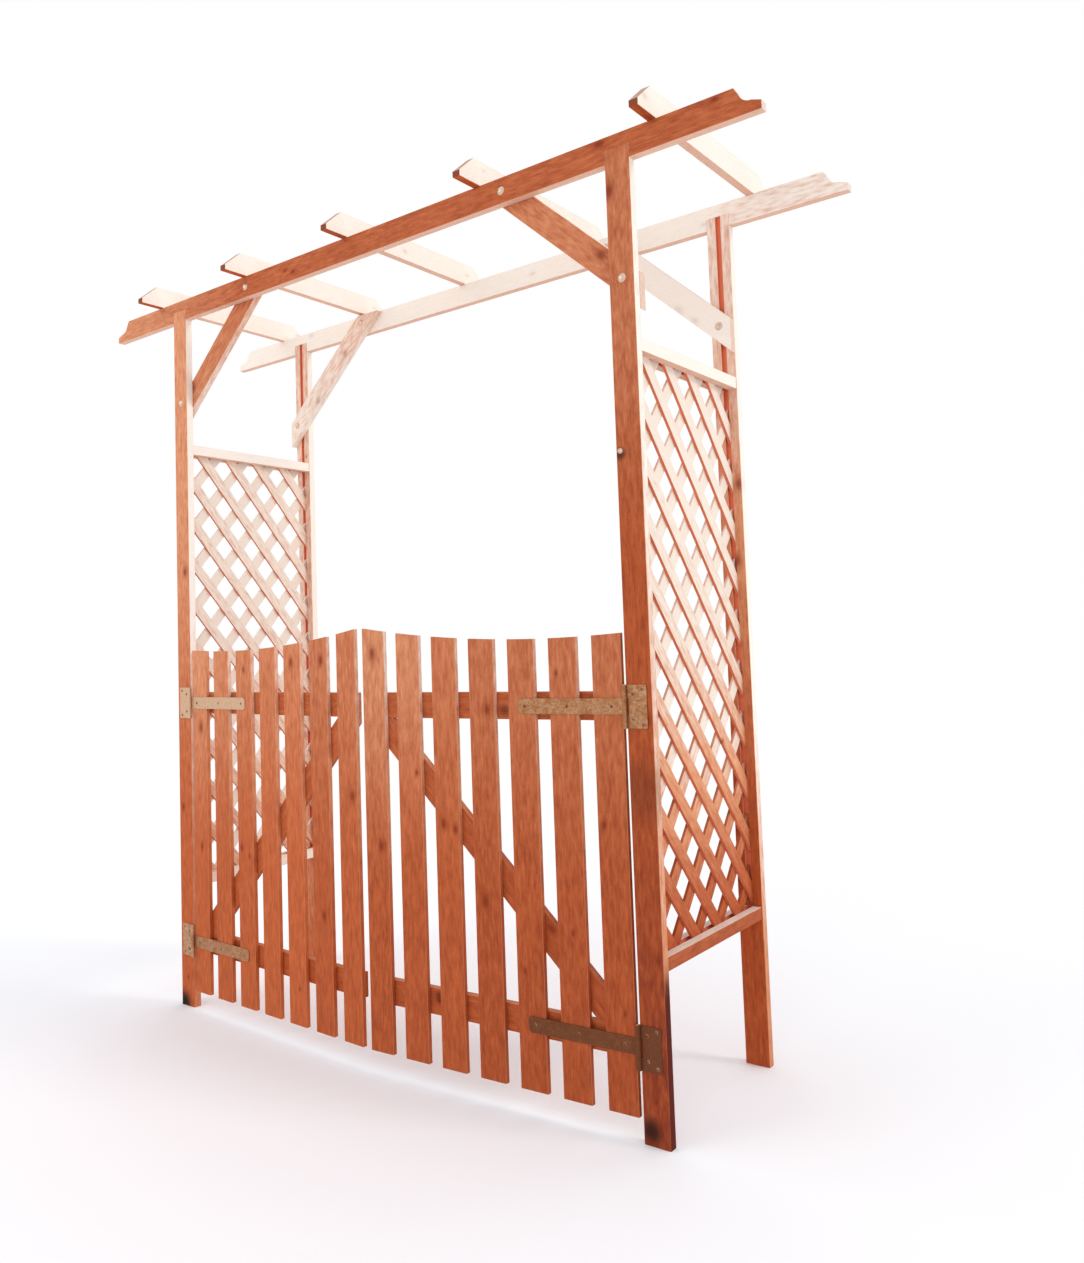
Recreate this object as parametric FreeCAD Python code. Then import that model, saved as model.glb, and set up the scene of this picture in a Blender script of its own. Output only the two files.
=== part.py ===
import FreeCAD, Part
import math
import os

from FreeCAD import Vector

# A wooden garden arch with a double gate between its front posts. Millimetres, z up, the ground at
# z = 0, x along the arch's width, the gate towards -y, and the origin under the arch's middle.

# The planed board that the posts, beams, rafters and corner braces are cut from
board_width = 60.0
board_thickness = 21.0
arris = 1.5  # radius that softens the long edges of every board

# The arch
passage_width = 1480.0  # clear between the left and right posts
frame_depth = 460.0  # from the front frame's mid plane to the rear frame's
beam_top = 2050.0  # height of the beams' top edge
beam_overhang = 325.0  # from a post's centre line to the beam's end
post_housing = 30.0  # how far a post's top is let into the beam

# The shaped end of a beam, from its top edge down to its nose
beam_bevel_run = 11.0
beam_bevel_drop = 18.0
beam_scoop_run = 25.0
beam_scoop_sag = 5.0
beam_lip_run = 21.0
beam_lip_drop = 7.0
beam_nose = 17.0

# The rafters, laid across the two beams by eye rather than at an even spacing
rafter_length = 620.0
rafter_bevel = 52.0  # how much shorter a rafter's top edge is at each end
rafter_nose = 14.0
first_rafter_inset = 232.0  # from the beam's left end to the first rafter's middle
last_rafter_inset = 239.0
rafter_shifts = (0.0, -30.75, -50.5, -37.25, 0.0)  # from an even spacing

# The corner braces, lapped on the inner faces of the frames
brace_reach = 310.0  # from its bolt in the post to its bolt in the beam, across
brace_drop = 278.0  # the same, down
brace_top_gap = 5.0  # from its upper cut to the beam's top edge

# The trellis panels between the front and rear posts
trellis_bottom = 336.0
trellis_top = 1616.0
trellis_rail_height = 28.0
trellis_rail_width = 56.0
groove_depth = 8.0
lath_width = 29.0
lath_thickness = 7.0
lath_arris = 0.8
lath_slope = 50.0  # degrees from the horizontal
lath_spacing = 77.5  # from lath to lath, square across them
falling_lath_start = 45.0  # where a lath's centre line crosses the bottom rail's top edge
rising_lath_start = -35.0
lath_end_gap = 1.0  # between a lath's end and the bottom of its groove
shortest_lath = 60.0

# The gate's two leaves
hinge_gap = 9.0  # between a post and its leaf
meeting_gap = 26.0  # between the two leaves
ajar_angle = 3.0  # how far each leaf stands open, in degrees
picket_count = 7
picket_width = 70.0
picket_thickness = 12.0
picket_bottom = 48.0
picket_arris = 2.0
gate_low_height = 1004.5  # lowest point of the arc that the pickets' tops follow
gate_low_place = 200.0  # from the post to that point
gate_arc_radius = 3400.0
gate_rail_width = 60.0
gate_rail_thickness = 16.0
gate_rail_inset = 10.0  # from the leaf's edge to a rail's end
lower_rail_height = 187.0  # of the rail's middle
upper_rail_height = 860.0
diagonal_width = 62.0
diagonal_foot_inset = 39.0  # from the lower rail's hinge end to the diagonal's centre line
diagonal_head_inset = 27.0  # from the upper rail's meeting end to the same line

# The tee hinges on the front faces of the posts and leaves
hinge_sheet = 2.0
knuckle_radius = 5.25
hinge_axis_place = 2.0  # from the post's side to the pin's centre, in the gap
hinge_height = 88.0
plate_reach = 51.0  # from the pin's centre to the plate's far edge
plate_corner = 3.0
knuckle_slot = 8.0  # from the pin's centre to the plate's edge beside the strap's knuckle
knuckle_gap = 0.5  # between neighbouring knuckles, along the pin
plate_screw_outer = (41.0, 35.0)  # from the hinge's centre, across and up or down
plate_screw_inner = (19.5, 25.0)
strap_width = 33.0
strap_pickets = 3  # how many pickets a strap is screwed to
strap_screw_shift = 10.0  # from a picket's middle towards the hinge
strap_end_margin = 18.0  # from the last screw to the strap's end
strap_corner = 9.0
pin_clearance = 0.05  # radial, in the strap's knuckle
pin_head_radius = 4.4
pin_head_height = 1.6

# Carriage bolts, nuts and washers through the corner braces
bolt_radius = 4.0
bolt_length = 55.0
bolt_head_radius = 10.0
bolt_head_height = 4.4
bolt_neck_depth = 4.0
washer_radius = 8.0
washer_thickness = 1.6
washer_clearance = 0.2
nut_flats = 13.0
nut_height = 6.5
nut_chamfer = 1.3  # how far a nut's corners are cut back at its outer end

# What every screw shares, as shares of its own radii
point_length_share = 2.5  # a point's length, of the shank's radius
tip_share = 0.2  # the blunt tip's radius, of the shank's
recess_reach_share = 0.6  # from a head's middle to the end of an arm of its cross
recess_width_share = 0.25  # the width of an arm

# Countersunk screws through the rafters into the beams, and through the beams into the posts
frame_screw_bite = 20.0  # how far a rafter's screw goes into the beam
frame_screw_radius = 2.5
frame_head_radius = 5.0
frame_head_depth = 3.0

# Raised countersunk screws of the gate and its hinges
gate_screw_radius = 2.0
gate_head_radius = 4.0
gate_head_rise = 1.1
recess_depth = 1.8  # of the cross in a screw's head
leaf_screw_length = 25.0
plate_screw_length = 20.0
picket_screw_offset = (18.0, 15.0)  # from the middle of a crossing, across and up

# A single round-head screw left in the right front post
post_screw_radius = 3.0
post_screw_length = 18.0
post_screw_head_radius = 6.5
post_screw_head_height = 4.0
post_screw_inset = 9.0  # from the post's inner side
post_screw_height = 1383.0

# Worked out from the sizes above
post_place = passage_width / 2 + board_width / 2
frame_place = frame_depth / 2
inner_face = frame_place - board_thickness / 2
outer_face = frame_place + board_thickness / 2
beam_end = post_place + beam_overhang
beam_bottom = beam_top - board_width
post_top = beam_bottom + post_housing
beam_bolt_height = beam_top - board_width / 2
post_bolt_height = beam_bolt_height - brace_drop
beam_bolt_place = post_place - brace_reach
trellis_half_depth = inner_face
groove_width = 2 * lath_thickness
leaf_width = passage_width / 2 - hinge_gap - meeting_gap / 2
picket_pitch = (leaf_width - picket_width) / (picket_count - 1)
leaf_front = -outer_face
leaf_rail_front = leaf_front + picket_thickness
leaf_back = leaf_rail_front + gate_rail_thickness
rail_start = hinge_gap + gate_rail_inset
rail_end = hinge_gap + leaf_width - gate_rail_inset
pin_radius = knuckle_radius - hinge_sheet
pin_y = -outer_face - knuckle_radius
strap_length = (
    hinge_gap
    + picket_width / 2
    + (strap_pickets - 1) * picket_pitch
    - strap_screw_shift
    - hinge_axis_place
    + strap_end_margin
)
frame_screw_length = board_width + frame_screw_bite

LEFT, RIGHT = -1, 1
SIDES = ((LEFT, "left"), (RIGHT, "right"))
FRAMES = ((-1, "front"), (1, "rear"))
UP = Vector(0, 0, 1)

os.makedirs("parts", exist_ok=True)


def save(name, solids):
    """Write one node: a solid, or a group of separate solids."""
    shape = solids if isinstance(solids, Part.Shape) else Part.makeCompound(solids)
    if not shape.isValid():
        raise ValueError(name + " is not a valid shape")
    shape.exportStep("parts/" + name + ".step")
    print(name, len(shape.Solids), "solid(s)", round(shape.Volume / 1000, 1), "cm3")


def box(low, high):
    """Return the box between two corners."""
    size = Vector(*high) - Vector(*low)
    return Part.makeBox(size.x, size.y, size.z, Vector(*low))


def upright_prism(edges, thickness):
    """Return the solid of an outline in the xz plane, given thickness towards +y."""
    return Part.Face(Part.Wire(edges)).extrude(Vector(0, thickness, 0))


def outline(points):
    """Return the straight edges of a closed outline."""
    return [Part.makeLine(a, b) for a, b in zip(points, points[1:] + points[:1])]


def softened(shape, direction, radius):
    """Round a solid's straight edges that run along a direction."""
    edges = []
    for edge in shape.Edges:
        run = edge.Vertexes[-1].Point - edge.Vertexes[0].Point
        if run.Length > 4 * radius and run.cross(direction).Length < 1e-6 * run.Length:
            edges.append(edge)
    return shape.makeFillet(radius, edges)


def board(low, high, direction, radius=arris):
    """Return a straight board with softened long edges."""
    return softened(box(low, high), direction, radius)


def turned(profile):
    """Return the solid that a half profile of (radius, height) points makes about the z axis."""
    points = [Vector(r, 0, z) for r, z in profile]
    return Part.Face(Part.Wire(outline(points))).revolve(Vector(), UP, 360)


def dome(radius, height):
    """Return a shallow dome standing on z = 0."""
    ball = (radius * radius + height * height) / (2 * height)
    middle = Vector(0, 0, height - ball)
    half = math.asin(radius / ball) / 2
    bend = middle + Vector(ball * math.sin(half), 0, ball * math.cos(half))
    arc = Part.Arc(Vector(radius, 0, 0), bend, Vector(0, 0, height)).toShape()
    sides = [Part.makeLine(Vector(0, 0, height), Vector()), Part.makeLine(Vector(), Vector(radius, 0, 0))]
    return Part.Face(Part.Wire([arc] + sides)).revolve(Vector(), UP, 360)


def cross_recess(radius, top, depth):
    """Return the cross that is sunk into a screw's head."""
    width = recess_width_share * radius
    reach = recess_reach_share * radius
    bars = [
        box((-reach, -width / 2, top - depth), (reach, width / 2, top + radius)),
        box((-width / 2, -reach, top - depth), (width / 2, reach, top + radius)),
    ]
    return bars[0].fuse(bars[1])


def screw(radius, head_radius, length, head_depth, rise):
    """Return a countersunk screw pointing down, its head's rim on z = 0, as the wood is bored for it."""
    point = point_length_share * radius
    shank = [(radius, -head_depth), (radius, point - length), (tip_share * radius, -length), (0, -length)]
    body = turned([(0, 0), (head_radius, 0)] + shank)
    if rise:
        body = body.fuse(dome(head_radius, rise)).removeSplitter()
    return body


def round_head_screw(radius, head_radius, head_height, length):
    """Return a screw with a domed head standing on z = 0 and its shank pointing down."""
    shank = turned([(0, 0), (radius, 0), (radius, 2 * radius - length), (0, -length)])
    return dome(head_radius, head_height).fuse(shank).removeSplitter()


def crossed(blank, head_radius, head_top, depth):
    """Return a screw with the cross sunk into its head."""
    return blank.cut(cross_recess(head_radius, head_top, depth))


def carriage_bolt():
    """Return a bolt pointing down, its domed head standing on z = 0 over a square neck."""
    neck = box((-bolt_radius, -bolt_radius, -bolt_neck_depth), (bolt_radius, bolt_radius, 0))
    shank = Part.makeCylinder(bolt_radius, bolt_length - bolt_radius / 2, Vector(), Vector(0, 0, -1))
    tip_start = Vector(0, 0, bolt_radius / 2 - bolt_length)
    tip = Part.makeCone(bolt_radius, bolt_radius / 2, bolt_radius / 2, tip_start, Vector(0, 0, -1))
    return dome(bolt_head_radius, bolt_head_height).fuse([neck, shank, tip]).removeSplitter()


def hexagon_nut():
    """Return a nut standing on z = 0."""
    corner = nut_flats / math.sqrt(3)
    turns = [math.radians(60 * i) for i in range(6)]
    points = [Vector(corner * math.cos(turn), corner * math.sin(turn), 0) for turn in turns]
    body = Part.Face(Part.Wire(outline(points))).extrude(Vector(0, 0, nut_height))
    crown_height = nut_height + nut_chamfer
    crown = Part.makeCone(corner + nut_height, corner - nut_chamfer, crown_height)
    return body.common(crown).cut(Part.makeCylinder(bolt_radius, nut_height))


def placed(shape, place, way):
    """Return a copy moved to a place, with its +z turned to point along way."""
    copy = shape.copy()
    copy.Placement = FreeCAD.Placement(Vector(*place), FreeCAD.Rotation(UP, Vector(*way)))
    return copy


def placed_all(shape, places, way):
    """Return a copy of a shape at each place."""
    return [placed(shape, place, way) for place in places]


def mirrored(shape, side):
    """Return a shape made for the right side, or its mirror image for the left."""
    return shape if side == RIGHT else shape.mirror(Vector(), Vector(1, 0, 0))


# Fasteners first, because the wood is bored by their own shapes

towards_viewer = (0, -1, 0)
away_from_viewer = (0, 1, 0)
bolt_places = []
for head_y in (-outer_face, inner_face - board_thickness):
    for side, _ in SIDES:
        bolt_places.append((side * post_place, head_y, post_bolt_height))
        bolt_places.append((side * beam_bolt_place, head_y, beam_bolt_height))
bolts = placed_all(carriage_bolt(), bolt_places, towards_viewer)

washer_shape = Part.makeCylinder(washer_radius, washer_thickness)
washer_shape = washer_shape.cut(Part.makeCylinder(bolt_radius + washer_clearance, washer_thickness))
nut_shape = hexagon_nut()
washers = []
nuts = []
for x, head_y, z in bolt_places:
    back = head_y + 2 * board_thickness
    washers.append(placed(washer_shape, (x, back, z), away_from_viewer))
    nuts.append(placed(nut_shape, (x, back + washer_thickness, z), away_from_viewer))

first_rafter = -beam_end + first_rafter_inset
last_rafter = beam_end - last_rafter_inset
rafter_pitch = (last_rafter - first_rafter) / (len(rafter_shifts) - 1)
rafter_places = [first_rafter + i * rafter_pitch + shift for i, shift in enumerate(rafter_shifts)]

frame_screw_places = []
for frame, _ in FRAMES:
    y = frame * frame_place
    frame_screw_places += [(x, y, beam_top + board_width) for x in rafter_places]
    frame_screw_places += [(side * post_place, y, beam_top) for side, _ in SIDES]
frame_blank = screw(frame_screw_radius, frame_head_radius, frame_screw_length, frame_head_depth, 0)
frame_screw = crossed(frame_blank, frame_head_radius, 0, recess_depth)
frame_screws = placed_all(frame_screw, frame_screw_places, UP)
frame_bores = placed_all(frame_blank, frame_screw_places, UP)

post_screw_head = (post_screw_head_radius, post_screw_head_height)
post_blank = round_head_screw(post_screw_radius, *post_screw_head, post_screw_length)
post_screw_place = (passage_width / 2 + post_screw_inset, -outer_face, post_screw_height)
post_bore = placed(post_blank, post_screw_place, towards_viewer)
post_screw = crossed(post_blank, *post_screw_head, recess_depth)
post_screw = placed(post_screw, post_screw_place, towards_viewer)

plate_screw_places = []
for side, _ in SIDES:
    for height in (lower_rail_height, upper_rail_height):
        for across, up in (plate_screw_outer, plate_screw_inner):
            x = side * (passage_width / 2 - hinge_axis_place + across)
            for z in (height - up, height + up):
                plate_screw_places.append((x, -outer_face - hinge_sheet, z))
plate_blank = screw(gate_screw_radius, gate_head_radius, plate_screw_length, hinge_sheet, gate_head_rise)
plate_screw = crossed(plate_blank, gate_head_radius, gate_head_rise, recess_depth)
plate_screws = placed_all(plate_screw, plate_screw_places, towards_viewer)
plate_bores = placed_all(plate_blank, plate_screw_places, towards_viewer)

save("carriage_bolts", bolts)
save("bolt_washers", washers)
save("bolt_nuts", nuts)
save("frame_screws", frame_screws)
save("post_screw", post_screw)
save("hinge_plate_screws", plate_screws)


# The two frames

def post(side, frame):
    """Return a post with the groove that takes the trellis in its inner face."""
    x = side * post_place
    y = frame * frame_place
    low = (x - board_width / 2, y - board_thickness / 2, 0)
    high = (x + board_width / 2, y + board_thickness / 2, post_top)
    groove_y = sorted((frame * inner_face, frame * (inner_face + groove_depth)))
    groove = box(
        (x - groove_width / 2, groove_y[0], trellis_bottom),
        (x + groove_width / 2, groove_y[1], post_top),
    )
    tools = [groove] + bolts + frame_bores
    if frame < 0:
        tools = tools + plate_bores + [post_bore]
    return board(low, high, UP).cut(tools)


def beam_end_edges(side):
    """Return the edges of a beam's shaped end, from its top corner down to its bottom corner."""
    top_corner = beam_end - beam_lip_run - beam_scoop_run - beam_bevel_run
    scoop_top = Vector(top_corner + beam_bevel_run, 0, beam_top - beam_bevel_drop)
    scoop_bottom = Vector(beam_end - beam_lip_run, 0, beam_bottom + beam_nose + beam_lip_drop)
    chord = scoop_bottom - scoop_top
    inward = Vector(chord.z, 0, -chord.x).normalize()
    bend = (scoop_top + scoop_bottom) * 0.5 + inward * beam_scoop_sag
    points = [
        Vector(top_corner, 0, beam_top),
        scoop_top,
        bend,
        scoop_bottom,
        Vector(beam_end, 0, beam_bottom + beam_nose),
        Vector(beam_end, 0, beam_bottom),
    ]
    a, b, c, d, e, f = [Vector(side * p.x, 0, p.z) for p in points]
    arc = Part.Arc(b, c, d).toShape()
    return a, f, [Part.makeLine(a, b), arc, Part.makeLine(d, e), Part.makeLine(e, f)]


def beam(frame):
    """Return a beam, shaped at both ends and housed over the posts' tops."""
    left_top, left_bottom, left_edges = beam_end_edges(LEFT)
    right_top, right_bottom, right_edges = beam_end_edges(RIGHT)
    long_edges = [Part.makeLine(left_top, right_top), Part.makeLine(right_bottom, left_bottom)]
    edges = Part.sortEdges(left_edges + long_edges + right_edges)[0]
    solid = upright_prism(edges, board_thickness)
    solid = softened(solid, Vector(1, 0, 0), arris)
    solid.translate(Vector(0, frame * frame_place - board_thickness / 2, 0))
    tools = bolts + frame_bores
    for side, _ in SIDES:
        low = (side * post_place - board_width / 2, frame * frame_place - board_thickness, beam_bottom - 1)
        high = (side * post_place + board_width / 2, frame * frame_place + board_thickness, post_top)
        tools = tools + [box(low, high)]
    return solid.cut(tools)


def brace(side, frame):
    """Return a corner brace, cut flush with the post's outer side and short of the beam's top."""
    run = Vector(-brace_reach, 0, brace_drop).normalize()
    across = Vector(run.z, 0, -run.x)
    middle = Vector(post_place, 0, post_bolt_height)
    outer_side = post_place + board_width / 2
    top = beam_top - brace_top_gap
    lower_ends = []
    upper_ends = []
    for edge in (board_width / 2, -board_width / 2):
        start = middle + across * edge
        lower_ends.append(start + run * ((outer_side - start.x) / run.x))
        upper_ends.append(start + run * ((top - start.z) / run.z))
    points = [lower_ends[0], upper_ends[0], upper_ends[1], lower_ends[1]]
    solid = softened(upright_prism(outline(points), board_thickness), run, arris)
    solid.translate(Vector(0, inner_face - board_thickness if frame > 0 else -inner_face, 0))
    return mirrored(solid, side).cut(bolts)


def rafter(x):
    """Return a rafter with its top corners cut back."""
    half_bottom = rafter_length / 2
    half_top = half_bottom - rafter_bevel
    bottom = beam_top
    top = beam_top + board_width
    points = [
        Vector(0, -half_bottom, bottom),
        Vector(0, -half_bottom, bottom + rafter_nose),
        Vector(0, -half_top, top),
        Vector(0, half_top, top),
        Vector(0, half_bottom, bottom + rafter_nose),
        Vector(0, half_bottom, bottom),
    ]
    solid = Part.Face(Part.Wire(outline(points))).extrude(Vector(board_thickness, 0, 0))
    solid = softened(solid, Vector(0, 1, 0), arris)
    solid.translate(Vector(x - board_thickness / 2, 0, 0))
    return solid.cut(frame_bores)


for frame, frame_name in FRAMES:
    save(frame_name + "_beam", beam(frame))
    for side, side_name in SIDES:
        save(side_name + "_" + frame_name + "_post", post(side, frame))
        save(side_name + "_" + frame_name + "_brace", brace(side, frame))

for i, x in enumerate(rafter_places):
    save("rafter_" + str(i + 1), rafter(x))


# The trellis panels

def trellis_rail(side, bottom, groove_bottom):
    """Return a rail with a tongue at each end and the laths' groove along one edge."""
    x = side * post_place
    half = trellis_half_depth
    low = (x - trellis_rail_width / 2, -half, bottom)
    high = (x + trellis_rail_width / 2, half, bottom + trellis_rail_height)
    body = board(low, high, Vector(0, 1, 0))
    tongue = box(
        (x - groove_width / 2, -half - groove_depth, bottom),
        (x + groove_width / 2, half + groove_depth, bottom + trellis_rail_height),
    )
    groove = box(
        (x - groove_width / 2, -half - groove_depth, groove_bottom),
        (x + groove_width / 2, half + groove_depth, groove_bottom + groove_depth),
    )
    return body.fuse(tongue).cut(groove)


def laths(side, layer, rise, start):
    """Return one layer of sloping laths, cut off square in the grooves around the panel."""
    reach_y = trellis_half_depth + groove_depth - lath_end_gap
    low_z = trellis_bottom + trellis_rail_height - groove_depth + lath_end_gap
    high_z = trellis_top - trellis_rail_height + groove_depth - lath_end_gap
    x = side * post_place + (0 if layer > 0 else -lath_thickness)
    panel = box((x, -reach_y, low_z), (x + lath_thickness, reach_y, high_z))
    pitch = lath_spacing / math.sin(math.radians(lath_slope))
    length = 4 * (high_z - low_z + reach_y)
    low = (x, -lath_width / 2, -length / 2)
    high = (x + lath_thickness, lath_width / 2, length / 2)
    lath = board(low, high, UP, lath_arris)
    lath.rotate(Vector(), Vector(1, 0, 0), rise * (lath_slope - 90))
    rail_edge = trellis_bottom + trellis_rail_height
    count = int(length / pitch)
    pieces = []
    for i in range(-count, count):
        copy = lath.copy()
        copy.translate(Vector(0, start + i * pitch, rail_edge))
        piece = copy.common(panel)
        if piece.Solids and piece.BoundBox.DiagonalLength > shortest_lath:
            pieces.append(piece.Solids[0])
    return pieces


top_rail_bottom = trellis_top - trellis_rail_height
bottom_groove = trellis_bottom + trellis_rail_height - groove_depth
for side, side_name in SIDES:
    name = side_name + "_trellis_"
    save(name + "top_rail", trellis_rail(side, top_rail_bottom, top_rail_bottom))
    save(name + "bottom_rail", trellis_rail(side, trellis_bottom, bottom_groove))
    save(name + "falling_laths", laths(side, 1, -1, falling_lath_start))
    save(name + "rising_laths", laths(side, -1, 1, rising_lath_start))


# The gate, drawn shut on the right side and then mirrored for the left leaf and swung ajar

def leaf_x(from_post):
    """Return the x of a place in the right leaf, given its distance from the post."""
    return passage_width / 2 - from_post


def hung(shape, side):
    """Return a piece of the right leaf, shut, as it hangs on a side, ajar."""
    pin = Vector(side * leaf_x(hinge_axis_place), pin_y, 0)
    piece = mirrored(shape, side).copy()
    piece.rotate(pin, UP, side * ajar_angle)
    return piece


def top_of_gate(from_post):
    """Return the height of the arc that the pickets' tops are cut to."""
    away = from_post - gate_low_place
    return gate_low_height + gate_arc_radius - math.sqrt(gate_arc_radius**2 - away**2)


def picket(middle):
    """Return a picket whose top follows the gate's arc."""
    start = middle - picket_width / 2
    end = middle + picket_width / 2
    corners = [
        Vector(leaf_x(start), 0, top_of_gate(start)),
        Vector(leaf_x(start), 0, picket_bottom),
        Vector(leaf_x(end), 0, picket_bottom),
        Vector(leaf_x(end), 0, top_of_gate(end)),
    ]
    arc = Part.Arc(corners[0], Vector(leaf_x(middle), 0, top_of_gate(middle)), corners[3]).toShape()
    sides = [Part.makeLine(a, b) for a, b in zip(corners, corners[1:])]
    solid = upright_prism(Part.sortEdges([arc] + sides)[0], picket_thickness)
    solid.translate(Vector(0, leaf_front, 0))
    return softened(solid, UP, picket_arris)


def gate_rail(height):
    """Return a rail of the leaf."""
    low = (leaf_x(rail_end), leaf_rail_front, height - gate_rail_width / 2)
    high = (leaf_x(rail_start), leaf_back, height + gate_rail_width / 2)
    return board(low, high, Vector(1, 0, 0))


diagonal_room_low = lower_rail_height + gate_rail_width / 2
diagonal_room_high = upper_rail_height - gate_rail_width / 2
diagonal_low = Vector(leaf_x(rail_start + diagonal_foot_inset), 0, diagonal_room_low)
diagonal_high = Vector(leaf_x(rail_end - diagonal_head_inset), 0, diagonal_room_high)
diagonal_run = (diagonal_high - diagonal_low).normalize()


def diagonal():
    """Return the diagonal that fills the way from corner to corner between the rails."""
    across = Vector(-diagonal_run.z, 0, diagonal_run.x)
    reach = diagonal_run * (leaf_width + upper_rail_height)
    middle = (diagonal_low + diagonal_high) * 0.5
    edge = across * (diagonal_width / 2)
    points = [middle - reach - edge, middle + reach - edge, middle + reach + edge, middle - reach + edge]
    strip = softened(upright_prism(outline(points), gate_rail_thickness), diagonal_run, arris)
    strip.translate(Vector(0, leaf_rail_front, 0))
    room = box(
        (leaf_x(rail_end), leaf_rail_front, diagonal_room_low),
        (leaf_x(rail_start), leaf_back, diagonal_room_high),
    )
    return strip.common(room)


def hinge_plate(height):
    """Return a hinge's plate on the right post, with a knuckle at each end of the pin."""
    x = leaf_x(hinge_axis_place)
    half = hinge_height / 2
    sheet = box((x, -outer_face - hinge_sheet, height - half), (x + plate_reach, -outer_face, height + half))
    far_edges = []
    for edge in sheet.Edges:
        bounds = edge.BoundBox
        if bounds.XMin > x + plate_reach - 0.01 and bounds.YLength > 0.5 * hinge_sheet:
            far_edges.append(edge)
    sheet = sheet.makeFillet(plate_corner, far_edges)
    barrel = Part.makeCylinder(knuckle_radius, hinge_height, Vector(x, pin_y, height - half))
    slot_half = strap_width / 2 + knuckle_gap
    slot = box(
        (x - 2 * knuckle_radius, pin_y - 2 * knuckle_radius, height - slot_half),
        (x + knuckle_slot, pin_y + 2 * knuckle_radius, height + slot_half),
    )
    bore = Part.makeCylinder(pin_radius, hinge_height, Vector(x, pin_y, height - half))
    return sheet.fuse(barrel).cut([slot, bore])


def hinge_strap(height):
    """Return a hinge's strap on the right leaf, shut, with its knuckle around the pin."""
    x = leaf_x(hinge_axis_place)
    half = strap_width / 2
    sheet = box((x - strap_length, -outer_face - hinge_sheet, height - half), (x, -outer_face, height + half))
    far_edges = []
    for edge in sheet.Edges:
        bounds = edge.BoundBox
        if bounds.XMax < x - strap_length + 0.01 and bounds.YLength > 0.5 * hinge_sheet:
            far_edges.append(edge)
    sheet = sheet.makeFillet(strap_corner, far_edges)
    foot = Vector(x, pin_y, height - half)
    barrel = Part.makeCylinder(knuckle_radius, strap_width, foot)
    bore = Part.makeCylinder(pin_radius + pin_clearance, strap_width, foot)
    return sheet.fuse(barrel).cut(bore)


def hinge_pin(height):
    """Return a riveted pin, with a low head over each end of the barrel."""
    place = Vector(leaf_x(hinge_axis_place), pin_y, height - hinge_height / 2)
    body = Part.makeCylinder(pin_radius, hinge_height, place)
    head = dome(pin_head_radius, pin_head_height)
    lower = placed(head, place, (0, 0, -1))
    upper = placed(head, place + Vector(0, 0, hinge_height), (0, 0, 1))
    return body.fuse([lower, upper]).removeSplitter()


# The leaf's screws: through the straps from the front, and through the rails and diagonal from behind

picket_middles = [hinge_gap + picket_width / 2 + i * picket_pitch for i in range(picket_count)]
strap_screw_places = []
rail_screw_places = []
for height in (lower_rail_height, upper_rail_height):
    for middle in picket_middles[:strap_pickets]:
        strap_screw_places.append((leaf_x(middle - strap_screw_shift), leaf_front - hinge_sheet, height))
    for middle in picket_middles:
        across, up = picket_screw_offset
        for turn in (-1, 1):
            rail_screw_places.append((leaf_x(middle + turn * across), leaf_back, height + turn * up))
diagonal_slope = (diagonal_high.z - diagonal_low.z) / (diagonal_high.x - diagonal_low.x)
for middle in picket_middles[1:-1]:
    height = diagonal_low.z + diagonal_slope * (leaf_x(middle) - diagonal_low.x)
    rail_screw_places.append((leaf_x(middle), leaf_back, height))

leaf_blank = screw(gate_screw_radius, gate_head_radius, leaf_screw_length, hinge_sheet, gate_head_rise)
leaf_screw = crossed(leaf_blank, gate_head_radius, gate_head_rise, recess_depth)
leaf_screws = placed_all(leaf_screw, strap_screw_places, towards_viewer)
leaf_screws += placed_all(leaf_screw, rail_screw_places, away_from_viewer)
leaf_bores = placed_all(leaf_blank, strap_screw_places, towards_viewer)
leaf_bores += placed_all(leaf_blank, rail_screw_places, away_from_viewer)

leaf_pieces = {"diagonal": diagonal()}
for level, height in (("lower", lower_rail_height), ("upper", upper_rail_height)):
    leaf_pieces[level + "_rail"] = gate_rail(height)
    leaf_pieces[level + "_hinge_strap"] = hinge_strap(height)
for i, middle in enumerate(picket_middles):
    leaf_pieces["picket_" + str(i + 1)] = picket(middle)
bored_pieces = {name: shape.cut(leaf_bores) for name, shape in leaf_pieces.items()}

pins = []
for side, side_name in SIDES:
    for name, shape in bored_pieces.items():
        save(side_name + "_" + name, hung(shape, side))
    save(side_name + "_leaf_screws", [hung(one, side) for one in leaf_screws])
    for level, height in (("lower", lower_rail_height), ("upper", upper_rail_height)):
        save(side_name + "_" + level + "_hinge_plate", mirrored(hinge_plate(height), side).cut(plate_bores))
        pins.append(mirrored(hinge_pin(height), side).copy())
save("hinge_pins", pins)
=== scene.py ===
# %% [markdown]
# # A garden arch with a double gate
# The real thing is a kit of planed pine boards: two frames, five rafters laid over them, two trellis panels
# and a pair of gate leaves on tee hinges. All of it is screwed and bolted, and brushed with a red-brown
# glaze. A scene like this could be modelled from nothing in Blender, but its boards, bores and hinges are
# already exact solids. So the solids come in as they are, and this script gives them their wood, steel, wear
# and light.

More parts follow.
